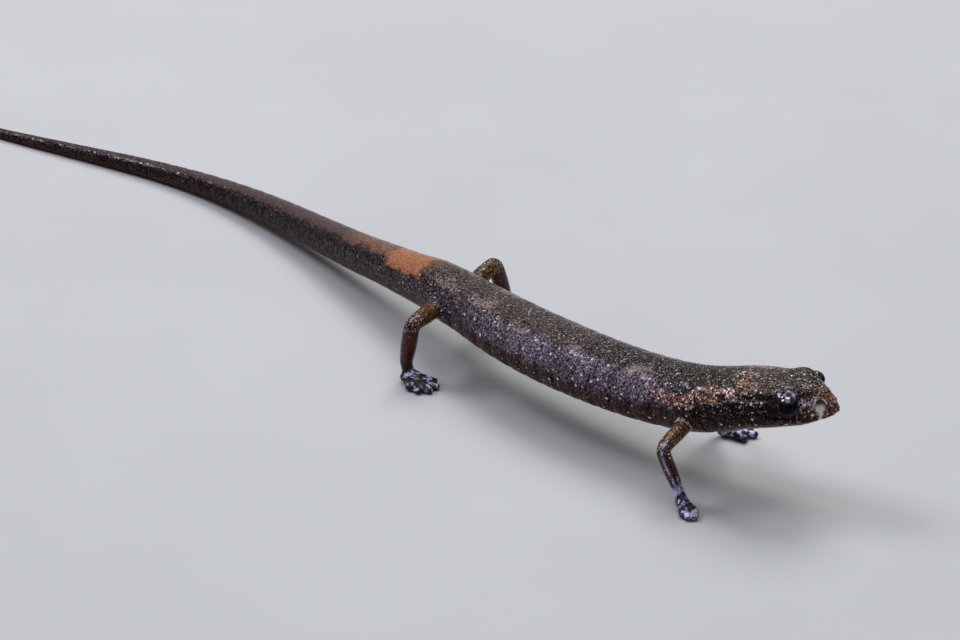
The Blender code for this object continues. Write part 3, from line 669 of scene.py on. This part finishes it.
def make_skin():
    """One skin over the whole animal, with no seam, and what its markings follow."""
    pieces = [make_trunk()]
    for leg in LEGS:
        pieces += make_leg(leg)
    skin = join_pieces("skin", pieces)
    apply_modifier(skin, "REMESH", mode="VOXEL", voxel_size=VOXEL, use_smooth_shade=True)
    apply_modifier(skin, "SMOOTH", factor=0.5, iterations=SMOOTHING)
    refine_head(skin)
    places = places_of(skin)
    s, out, above, half, tall, outside = body_lie(places)
    reach, to_leg, leg_front = leg_lie(places)
    on_leg = ease(*LEG_OUTSIDE, outside) * ease(*LEGS_FROM, s) * (1 - ease(*LEGS_TO, s))
    on_leg *= 1 - ease(*LEG_NEAR, to_leg)
    relief = body_relief(s, out, above, half, tall) * (1 - on_leg) * ease(*RELIEF_FROM, half)
    places = places + relief[:, None] * places_of(skin, "normal")
    move_to(skin, places)
    normals = places_of(skin, "normal")
    places, mouth = shape_mouth(places, normals, s, above)
    places, marks = shape_face(places, normals)
    places[:, 2] = np.maximum(places[:, 2], SOLE)
    move_to(skin, places)
    marks.update(station=s, above=above, height=np.clip(above / tall, -1, 1), on_leg=on_leg, reach=reach,
                 leg_front=leg_front, mouth=mouth)
    for name, values in marks.items():
        give_attribute(skin, name, values)
    return skin


def to_metres(obj):
    obj.scale = (MM, MM, MM)
    only(obj)
    bpy.ops.object.transform_apply()
    bpy.ops.object.shade_smooth()


def make_eye(name, side):
    """A ball with a slightly fuller front, set under its lids."""
    centre, look, along, rise = eye_frame(side)
    bpy.ops.mesh.primitive_uv_sphere_add(segments=EYE_SEGMENTS, ring_count=EYE_RINGS, radius=EYE_RADIUS)
    eye = bpy.context.object
    eye.name = name
    places = places_of(eye)
    front = np.clip(places[:, 2] / EYE_RADIUS, 0, 1)
    places[:, 2] += EYE_FULLNESS * ease(*EYE_FULL, front)
    turned = places[:, :1] * along + places[:, 1:2] * rise + places[:, 2:] * look
    move_to(eye, turned + centre)
    give_attribute(eye, "front", front)
    give_attribute(eye, "upper", turned[:, 2] / EYE_RADIUS)
    to_metres(eye)
    return eye


class Wire:
    """A shader socket that can be used in plain sums."""

    def __init__(self, tree, socket):
        self.tree, self.socket = tree, socket

    def node(self, kind, inputs, settings=None, output=0):
        """Adds a node: its settings first, then the values or wires of its sockets."""
        node = self.tree.nodes.new(kind)
        for name, value in (settings or {}).items():
            setattr(node, name, value)
        for key, value in inputs.items():
            if isinstance(value, Wire):
                self.tree.links.new(value.socket, node.inputs[key])
            else:
                node.inputs[key].default_value = value
        return Wire(self.tree, node.outputs[output])

    def sum_with(self, operation, first, second):
        return self.node("ShaderNodeMath", {0: first, 1: second}, {"operation": operation})

    def __add__(self, other):
        return self.sum_with("ADD", self, other)

    __radd__ = __add__

    def __sub__(self, other):
        return self.sum_with("SUBTRACT", self, other)

    def __rsub__(self, other):
        return self.sum_with("SUBTRACT", other, self)

    def __mul__(self, other):
        return self.sum_with("MULTIPLY", self, other)

    __rmul__ = __mul__

    def ramp(self, low, high, first, last):
        """Goes smoothly from one value to another between low and high."""
        return self.node("ShaderNodeMapRange", {"Value": self, "From Min": low, "From Max": high,
                                                "To Min": first, "To Max": last},
                         {"interpolation_type": "SMOOTHSTEP"})

    def above(self, low, high):
        """Rises smoothly from 0 at low to 1 at high."""
        return self.ramp(low, high, 0, 1)

    def below(self, low, high):
        """Falls smoothly from 1 at low to 0 at high."""
        return self.ramp(low, high, 1, 0)

    def between(self, low, high, soft):
        """1 between two values, fading over a soft margin outside them."""
        return self.above(low - soft, low) * self.below(high, high + soft)

    def mixed(self, first, second):
        """The first colour where this wire is 0 and the second where it is 1."""
        first, second = (c if isinstance(c, Wire) else (*c, 1) for c in (first, second))
        return self.node("ShaderNodeMix", {0: self, 6: first, 7: second}, {"data_type": "RGBA"}, 2)


def new_material(name, constants):
    """A material with some constants, its shader's sockets, and a wire that its nodes can grow from."""
    material = bpy.data.materials.new(name)
    material.use_nodes = True
    sockets = material.node_tree.nodes["Principled BSDF"].inputs
    for socket, value in constants.items():
        sockets[socket].default_value = value
    where = material.node_tree.nodes.new("ShaderNodeTexCoord")
    return material, sockets, Wire(material.node_tree, where.outputs["Object"])


def attribute(where, name):
    return where.node("ShaderNodeAttribute", {}, {"attribute_name": name}, 2)


def noise(where, scale, detail=3.0, rough=0.55):
    """Soft cloudy variation between about 0.3 and 0.7, with so many lumps to the metre."""
    return where.node("ShaderNodeTexNoise", {"Vector": where, "Scale": scale, "Detail": detail,
                                             "Roughness": rough})


def wander(where, scale, reach, detail=3.0, rough=0.55):
    """Cloudy noise about 0 that makes the edge of a marking ragged."""
    return noise(where, scale, detail, rough) * reach - reach / 2


def shaken(where, scale, reach):
    """Places moved a little by noise, so that what is set on them is ragged."""
    shift = where.node("ShaderNodeTexNoise", {"Vector": where, "Scale": scale, "Detail": 1.0}, output=1)
    centred = where.node("ShaderNodeVectorMath", {0: shift, 1: (0.5, 0.5, 0.5)}, {"operation": "SUBTRACT"})
    small = where.node("ShaderNodeVectorMath", {0: centred, 3: reach}, {"operation": "SCALE"})
    return where.node("ShaderNodeVectorMath", {0: where, 1: small}, {"operation": "ADD"})


def flecks(where, scale, size, share):
    """Small spots of uneven size: so many cells to the metre, a spot's size in its cell, and the share
    of cells that have one."""
    cells = {"Vector": where, "Scale": scale}
    distance = where.node("ShaderNodeTexVoronoi", cells)
    chance = where.node("ShaderNodeTexVoronoi", cells, output=1)
    chosen = where.node("ShaderNodeSeparateColor", {0: chance}).above(1 - share, 1 - share + 0.08)
    uneven = where.node("ShaderNodeSeparateColor", {0: chance}, output=1) * 0.7 + 0.4
    return distance.below(uneven * (size * 0.45), uneven * size) * chosen


def connect(wire, socket):
    wire.tree.links.new(wire.socket, socket)


# Colours of the small marks and thin washes; among them are painted glints, sheen, highlights and shade
# Painted glints and sheen: a pale violet glint, a pale lilac glint and a lilac sheen
PAINTED_GLINT_VIOLET, PAINTED_SPARK_LILAC, PAINTED_LID_SHEEN = (0.72, 0.64, 0.8), (0.86, 0.81, 0.98), (0.56, 0.47, 0.6)
PINKISH_WHITE, DULL_GOLD, STRAW = (0.88, 0.66, 0.63), (0.66, 0.43, 0.29), (0.56, 0.44, 0.29)
# The last is white lip dots brightened as painted glints
WHITE_DOT, FLANK_DOT, LIP_DOTS_AND_GLINTS = (0.82, 0.77, 0.82), (0.86, 0.78, 0.82), (0.94, 0.9, 0.93)
# The first two are a painted highlight on the forearm and its darker edge
PAINTED_STREAK, PAINTED_STREAK_EDGE, ARM_DOT = (0.7, 0.64, 0.88), (0.15, 0.095, 0.2), (0.85, 0.78, 0.78)
# The first is pale spots with painted highlights at the joints
JOINT_SPOTS_AND_GLINT, TAIL_BROWN = (0.7, 0.65, 0.65), (0.085, 0.048, 0.042)
# Both are partly painted shade: the side of the head and the ring round each eye
CHEEK_SHADE_BLACK, EYE_RING_SHADE = (0.005, 0.002, 0.006), (0.007, 0.004, 0.008)
# The first is painted shade for the crease of the mouth
MOUTH_CREASE_SHADE, RIM, CUP_STREAK = (0.003, 0.002, 0.002), (0.58, 0.49, 0.47), (0.72, 0.62, 0.58)
# The first is painted shade for the nostril cups' upper part
CUP_SHADE, CUP_PALE = (0.11, 0.072, 0.052), (0.86, 0.77, 0.66)


def grained(grain, dark, pale):
    """Skin of two tones, mottled by a fine grain."""
    return grain.above(0.44, 0.60).mixed(dark, pale)


def body_colours(where, grain, height):
    """The trunk and tail: nearly black, ruddy low on the flank."""
    dark = grained(grain, (0.002, 0.001, 0.001), (0.03, 0.018, 0.017))
    ruddy = grained(grain, (0.005, 0.002, 0.001), (0.115, 0.033, 0.02))
    low = (height + wander(where, 900, 0.5)).below(-0.45, 0.2)
    return (low * 0.9).mixed(dark, ruddy)


def flank_painted_sheen(colour, where, grain, station, height):
    """Painted sheen standing in for light reflected on wet skin: grey-violet along the upper flank,
    strongest behind the foreleg, with painted glints in it.
    """
    painted_sheen_tone = grained(grain, (0.01, 0.006, 0.009), (0.3, 0.232, 0.318))
    cloud = noise(where, 1000).above(0.25, 0.6) * 0.6 + 0.3
    along = station.above(6.5, 9.5) * station.below(16.0, 26.0)
    mask = (height + wander(where, 1200, 0.7)).between(0.16, 0.6, 0.34) * along * cloud
    colour = mask.mixed(colour, painted_sheen_tone)
    # Painted glints: pale violet flecks where the painted sheen is strongest
    wet = flecks(where, 4600, 0.32, 0.3) * mask.above(0.15, 0.55)
    return (wet * 0.9).mixed(colour, PAINTED_GLINT_VIOLET)


def back_wash(colour, where, grain, station, height):
    """The back: dull olive over the head and neck, going brown, then plum, towards the tail."""
    olive = grained(grain, (0.002, 0.002, 0.001), (0.02, 0.02, 0.011))
    brown = grained(grain, (0.005, 0.003, 0.002), (0.08, 0.058, 0.046))
    plum = grained(grain, (0.018, 0.01, 0.01), (0.09, 0.055, 0.052))
    wash = station.above(10.0, 16.0).mixed(olive, brown)
    wash = station.above(28.0, 34.0).mixed(wash, plum)
    mask = (height + wander(where, 1400, 0.4)).above(0.74, 0.92)
    return (mask * 0.9).mixed(colour, wash)


def cheek_painted_shade(colour, where, station, height):
    """Painted shade over the dark side of the head, nearly black from the eye back to the fold of the
    throat.
    """
    ragged = height + wander(where, 1800, 0.5)
    # Painted shade below the cheek's ridge, darkening skin that is dark already
    mask = ragged.between(-0.5, 0.22, 0.25) * station.between(1.3, 6.2, 0.6)
    return (mask * 0.75).mixed(colour, CHEEK_SHADE_BLACK)


def copper_band(colour, where, grain, station, height):
    """The coppery band from the snout over the eye and down the side of the neck to the foreleg, with
    pinkish white grains where it is broadest."""
    copper = grained(grain, (0.012, 0.004, 0.003), (0.44, 0.164, 0.108))
    broken = noise(where, 2600, 2).above(0.36, 0.54)
    centre = 0.8 - station.above(3.2, 7.4) * 0.52
    band = (height + wander(where, 1500, 0.9) - centre).between(-0.1, 0.1, 0.22) * broken
    neck = (station.above(2.8, 4.6) * 0.8 + 0.12) * station.above(1.6, 2.8) * station.below(7.4, 9.4)
    snout = station.below(0.4, 1.5) * 0.45
    colour = (band * neck + snout).mixed(colour, copper)
    crowded = flecks(where, 7600, 0.56, 0.85) * band.above(0.05, 0.45) * station.between(4.4, 8.2, 1.4)
    colour = (crowded * 0.95).mixed(colour, PINKISH_WHITE)
    golden = flecks(where, 8200, 0.46, 0.5) * station.below(0.9, 2.4)
    return (golden * 0.8).mixed(colour, DULL_GOLD)


def rust_patch(colour, where, grain, station, height):
    """The rust orange blotch over the tail base, drawn out to a thin band along the tail's back."""
    ragged = wander(where, 1500, 1.8, 4)
    rust = grained(grain, (0.2, 0.072, 0.03), (0.37, 0.148, 0.066))
    blotch = (station + ragged - height * 0.8).between(24.9, 27.7, 0.3)
    blotch = blotch * (height + ragged * 0.25).above(0.5, 0.62)
    thin = grained(grain, (0.08, 0.032, 0.018), (0.29, 0.13, 0.072))
    streak = (station + ragged).between(26.5, 31.0, 3.0) * (height + ragged * 0.25).above(0.72, 0.94)
    faint = station.between(32.0, 44.0, 8.0) * (height + ragged * 0.3).above(0.74, 0.94)
    colour = (faint * 0.45).mixed(colour, TAIL_BROWN)
    colour = (streak * 0.75).mixed(colour, thin)
    return (blotch * 0.95).mixed(colour, rust)


# Pinkish pieces: each a station, a height, and how far it reaches along and up
PINK_PIECES = ((9.6, 0.84, 1.1, 0.15), (20.1, 0.86, 1.2, 0.14), (17.2, 0.8, 0.8, 0.12),
               (23.0, 0.82, 1.0, 0.14), (13.6, 0.84, 0.7, 0.1))


def pink_pieces(colour, where, grain, station, height):
    """Pinkish broken pieces along the line between back and flank."""
    pink = grained(grain, (0.03, 0.014, 0.013), (0.38, 0.25, 0.25))
    ragged = wander(where, 2600, 4.4, 4, 0.7)
    pieces = []
    for place, level, long, tall in PINK_PIECES:
        along = (station - place) * (1 / long)
        up = (height - level) * (1 / tall)
        pieces.append((along * along + up * up + ragged).below(0.2, 0.9))
    return (sum(pieces) * 0.7).mixed(colour, pink)


def leg_ground(where, grain, arm, reach):
    """Golden brown speckled upper legs, dark red shanks and darker forearms, then dark hands and feet
    with painted highlights: violet patches that are pale blue inside."""
    gold = arm.mixed((0.16, 0.07, 0.024), (0.2, 0.088, 0.045))
    gold = grained(grain, (0.01, 0.003, 0.001), gold)
    shin = arm.mixed((0.125, 0.02, 0.009), (0.082, 0.016, 0.011))
    red = grain.above(0.42, 0.62).mixed((0.012, 0.002, 0.001), shin)
    # Painted highlights on the hands and feet: violet patches, pale blue at their cores
    cloud = noise(where, 3000) + arm * 0.03
    dark = cloud.above(0.5, 0.59).mixed((0.02, 0.012, 0.015), (0.13, 0.105, 0.2))
    dark = cloud.above(0.56, 0.63).mixed(dark, (0.47, 0.46, 0.72))
    ragged = reach + wander(where, 2500, 0.3)
    leg = ragged.above(0.86, 1.04).mixed(gold, red)
    speckle = flecks(where, 7400, 0.42, 0.5) * reach.below(0.8, 1.05)
    leg = (speckle * 0.85).mixed(leg, STRAW)
    return ragged.above(1.8, 2.1).mixed(leg, dark), ragged


def arm_painted_streak(leg, where, arm, reach, leg_front):
    """A painted highlight: the broken lilac streak down the front of the forearm, with a darker painted
    edge, where wet skin shines; and white dots from the elbow down, sparser on the hind legs."""
    long = where.node("ShaderNodeMapping", {"Vector": where, "Scale": (1.0, 1.0, 0.35)})
    broken = noise(long, 5600).above(0.36, 0.47)
    across = leg_front - reach * 0.22 + 0.22
    length = reach.between(0.96, 2.1, 0.1) * arm
    # Painted highlight: the lilac streak with its darker edge and its brighter sparkle
    leg = (across.between(0.2, 0.52, 0.16) * broken * length * 0.75).mixed(leg, PAINTED_STREAK_EDGE)
    painted_sparkle = flecks(where, 7000, 0.62, 0.85) * 0.65 + broken * 0.35
    leg = (across.between(0.28, 0.46, 0.1) * painted_sparkle * length).mixed(leg, PAINTED_STREAK)
    white = flecks(where, 5200, 0.34, 0.34) * reach.between(0.9, 2.6, 0.1) * (arm * 0.7 + 0.3)
    return (white * 0.9).mixed(leg, ARM_DOT)


def leg_colours(colour, where, grain, station, on_leg, reach, leg_front):
    """The legs' own colours, with pale grains at the knees and at the roots of the forelegs, partly pale
    spots and partly painted highlights.
    """
    arm = station.below(12, 14)
    leg, ragged = leg_ground(where, grain, arm, reach)
    leg = arm_painted_streak(leg, where, arm, reach, leg_front)
    colour = on_leg.above(0.3, 0.9).mixed(colour, leg)
    # Pale spots at the knees and a ring at the forelegs' roots, partly painted highlights
    knee = ragged.between(0.95, 1.06, 0.04) * grain.above(0.53, 0.63) * on_leg
    root = on_leg.between(0.2, 0.75, 0.15) * arm * grain.above(0.44, 0.56)
    return (knee * 0.7 + root * 0.7).mixed(colour, JOINT_SPOTS_AND_GLINT)


def face_colours(colour, where, marks):
    """A dark ring round each eye, partly painted lid shadow; painted lilac sheen and glints on the lids
    and before the eyes; pale nostril cups with painted shade in their upper part; the streak under each;
    the lid edges; and painted shade along the mouth's line."""
    # Painted lid shadow over dark skin: the dark ring round each eye, widest behind and below
    ring = (marks["eye_ring"] + wander(where, 3600, 0.6)).above(0.25, 0.6)
    colour = (ring * 0.85).mixed(colour, EYE_RING_SHADE)
    # Painted highlights: lilac sheen on the lids' rise and before the eyes, with painted pale lilac sparks
    # over it
    before_eye = marks["station"].between(0.95, 1.25, 0.25) * marks["above"].between(0.42, 0.62, 0.12)
    glossy = noise(where, 5200)
    streaky = noise(where, 9000, 2).above(0.36, 0.56)
    sheen = marks["lid_top"].above(0.15, 0.75) * glossy.above(0.44, 0.6) * streaky
    sheen = sheen + before_eye * glossy.above(0.46, 0.6) * streaky
    colour = (sheen * 0.8).mixed(colour, PAINTED_LID_SHEEN)
    painted_sparks = flecks(where, 6000, 0.6, 0.75) * sheen.above(0.05, 0.35)
    colour = (painted_sparks * 0.95).mixed(colour, PAINTED_SPARK_LILAC)
    # Painted shade along the crease of the mouth
    colour = (marks["mouth"].above(0.35, 0.9) * 0.9).mixed(colour, MOUTH_CREASE_SHADE)
    edge = glossy.above(0.4, 0.6).mixed((0.012, 0.008, 0.009), (0.17, 0.1, 0.08))
    colour = (marks["lid_edge"].above(0.3, 0.9) * 0.9).mixed(colour, edge)
    rim = marks["rim"].above(0.4, 0.95) * noise(where, 5200, 2).above(0.38, 0.58)
    colour = (rim * 0.8).mixed(colour, RIM)
    colour = (marks["lip_groove"].above(0.25, 0.6) * 0.95).mixed(colour, CUP_STREAK)
    # Painted shade over the nostril cup, left showing in its upper part where the pale floor does not
    # cover it
    colour = marks["cup"].above(0.02, 0.25).mixed(colour, CUP_SHADE)
    uneven = marks["cup_floor"] + wander(where, 6000, 0.5, 2)
    return uneven.above(0.05, 0.85).mixed(colour, CUP_PALE)


def add_flecks(colour, where, station, height, above, on_leg):
    """Copper dust, cream flecks and sparse white dots over the dark skin, crowded in some places and
    scarce in others, and thinner on tail and legs."""
    ragged = shaken(where, 16000, 0.00005)
    fine = (station.below(24.0, 34.0) * 0.75 + 0.25) * (1 - on_leg * 0.7)
    crowd = noise(where, 1500, 2).above(0.34, 0.58) * 0.65 + 0.35
    dust = flecks(ragged, 11500, 0.52, 0.65)
    golden = station.above(4.0, 8.0).mixed((0.32, 0.225, 0.15), (0.3, 0.205, 0.18))
    colour = (dust * fine * crowd * 0.8).mixed(colour, golden)
    small = flecks(ragged, 6800, 0.38, 0.72) * height.above(-0.5, 0.2)
    cream = station.above(5.0, 9.0).mixed((0.58, 0.52, 0.44), (0.43, 0.37, 0.36))
    colour = (small * fine * crowd * 0.8).mixed(colour, cream)
    bright = flecks(ragged, 3600, 0.22, 0.45) * height.above(-0.1, 0.4) * (1 - on_leg)
    bright = bright * (1 - station.above(6.0, 10.0) * height.above(0.65, 0.85))
    colour = (bright * fine * crowd).mixed(colour, WHITE_DOT)
    lower = height.below(0.2, 0.8) * (1 - on_leg) * station.below(24.0, 30.0)
    big = flecks(ragged, 3300, 0.28, 0.55) * lower
    colour = (big * 0.95).mixed(colour, FLANK_DOT)
    # White dots along the lip, brightened past skin tone to stand in for glints: partly painted highlights
    lip = (above + 0.1).between(-0.2, 0.16, 0.05) * station.below(2.2, 3.6)
    return (flecks(where, 4200, 0.42, 0.8) * lip).mixed(colour, LIP_DOTS_AND_GLINTS)


def skin_bump(where, on_leg):
    """Fine granules over soft wrinkles, as heights in metres, lower on the legs."""
    grains = where.node("ShaderNodeTexVoronoi", {"Vector": where, "Scale": 7000})
    lumps = (grains * -0.6 + noise(where, 2600) * 0.8) * (1 - on_leg * 0.6)
    return where.node("ShaderNodeBump", {"Distance": 0.00006, "Height": lumps})


def wet_film(where, height, on_leg, reach):
    """Where the film of water shines: in small glints on back and flank, and from the knees down."""
    glints = flecks(where, 6000, 0.5, 0.52) * (height.above(-0.2, 0.4) * 0.88 + 0.12)
    patches = noise(where, 1600, 2).above(0.5, 0.62) * height.above(0.2, 0.6) * 0.25
    return glints + patches + on_leg * reach.above(0.85, 1.25) * 0.28


def skin_material():
    constants = {"Specular IOR Level": 0.06, "Coat Roughness": 0.1}
    material, sockets, where = new_material("wet speckled skin", constants)
    names = ("station", "above", "height", "on_leg", "reach", "leg_front", "mouth", "lid_edge", "lid_top",
             "eye_ring", "cup", "cup_floor", "rim", "lip_groove")
    marks = {name: attribute(where, name) for name in names}
    station, height, on_leg, reach = (marks[name] for name in ("station", "height", "on_leg", "reach"))
    grain = noise(where, 11000, 3, 0.7)
    colour = body_colours(where, grain, height)
    for layer in (flank_painted_sheen, back_wash, pink_pieces):
        colour = layer(colour, where, grain, station, height)
    colour = cheek_painted_shade(colour, where, station, height)
    colour = copper_band(colour, where, grain, station, height)
    colour = leg_colours(colour, where, grain, station, on_leg, reach, marks["leg_front"])
    colour = add_flecks(colour, where, station, height, marks["above"], on_leg)
    colour = rust_patch(colour, where, grain, station, height * (1 - on_leg))
    colour = face_colours(colour, where, marks)
    connect(colour, sockets["Base Color"])
    connect(noise(where, 5000).above(0.3, 0.7) * 0.14 + 0.14, sockets["Roughness"])
    connect(skin_bump(where, on_leg), sockets["Normal"])
    connect(wet_film(where, height, on_leg, reach), sockets["Coat Weight"])
    return material


def eye_material():
    """Black eye with a barely brighter ring of iris, wettest on its upper half."""
    constants = {"Specular IOR Level": 0.02, "Coat Roughness": 0.03, "Coat IOR": 1.75}
    material, sockets, where = new_material("wet black eye", constants)
    front = attribute(where, "front")
    ring = front.between(0.86, 0.93, 0.04) * noise(where, 9000).above(0.4, 0.6)
    colour = (ring * 0.5).mixed((0.002, 0.002, 0.003), (0.012, 0.007, 0.005))
    connect(colour, sockets["Base Color"])
    connect(noise(where, 2500) * 0.03 + 0.02, sockets["Roughness"])
    connect(attribute(where, "upper").above(0.4, 0.72) * 0.97 + 0.03, sockets["Coat Weight"])
    return material


def floor_material():
    material, sockets, where = new_material("pale matt floor", {"Roughness": 0.75})
    colour = noise(where, 60).above(0.2, 0.8).mixed((0.37, 0.365, 0.355), (0.40, 0.395, 0.385))
    connect(colour, sockets["Base Color"])
    return material


def make_floor():
    bpy.ops.mesh.primitive_plane_add(size=4, location=(0, 0, 0))
    floor = bpy.context.object
    floor.name = "floor"
    floor.data.materials.append(floor_material())


CAMERA_PLACE, CAMERA_TARGET = (0.161134, -0.156536, 0.108209), (0.011288, -0.001367, 0.003)
CAMERA_LENS, CAMERA_NEAR = 193.125, 0.0001
LIGHT_TARGET = (0.012, 0, 0.003)


def aimed(name, data, place, target):
    """Puts a camera or a light at a place, turned to a target."""
    obj = bpy.data.objects.new(name, data)
    bpy.context.scene.collection.objects.link(obj)
    obj.location = place
    obj.rotation_euler = (Vector(target) - obj.location).to_track_quat("-Z", "Y").to_euler()
    return obj


def make_camera():
    """The photograph's view, near enough to run the tail out of its left edge."""
    camera = aimed("camera", bpy.data.cameras.new("camera"), CAMERA_PLACE, CAMERA_TARGET)
    camera.data.lens = CAMERA_LENS
    camera.data.clip_start = CAMERA_NEAR
    bpy.context.scene.camera = camera


def make_light(name, place, size, power, colour):
    light = aimed(name, bpy.data.lights.new(name, "AREA"), place, LIGHT_TARGET)
    light.data.size = size
    light.data.energy = power
    light.data.color = colour


def make_lights():
    """A light high behind the animal, a bluish one high from the tail's side that skims the flank, a
    broad one overhead that shines in the eye, and a pale surround."""
    bpy.context.scene.view_settings.view_transform = "Standard"
    make_light("key", (-0.11, 0.19, 0.34), 0.24, 1.3, (0.95, 0.97, 1.0))
    make_light("skim", (-0.25, -0.10, 0.30), 0.15, 0.9, (0.84, 0.86, 1.0))
    make_light("sky", (0.02, 0.02, 0.42), 0.40, 0.9, (0.84, 0.91, 1.0))
    world = bpy.data.worlds.new("surround")
    world.use_nodes = True
    surround = world.node_tree.nodes["Background"].inputs
    surround["Color"].default_value = (0.9, 0.93, 1.0, 1)
    surround["Strength"].default_value = 0.22
    bpy.context.scene.world = world


def main():
    make_camera()
    make_lights()
    make_floor()
    skin = make_skin()
    to_metres(skin)
    skin.data.materials.clear()
    skin.data.materials.append(skin_material())
    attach(skin, "root")
    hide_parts(*FLESH)
    black = eye_material()
    for name, side in (("eye_right", -1), ("eye_left", 1)):
        eye = make_eye("ball_of_" + name, side)
        eye.data.materials.append(black)
        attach(eye, "root")
        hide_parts(name)


main()
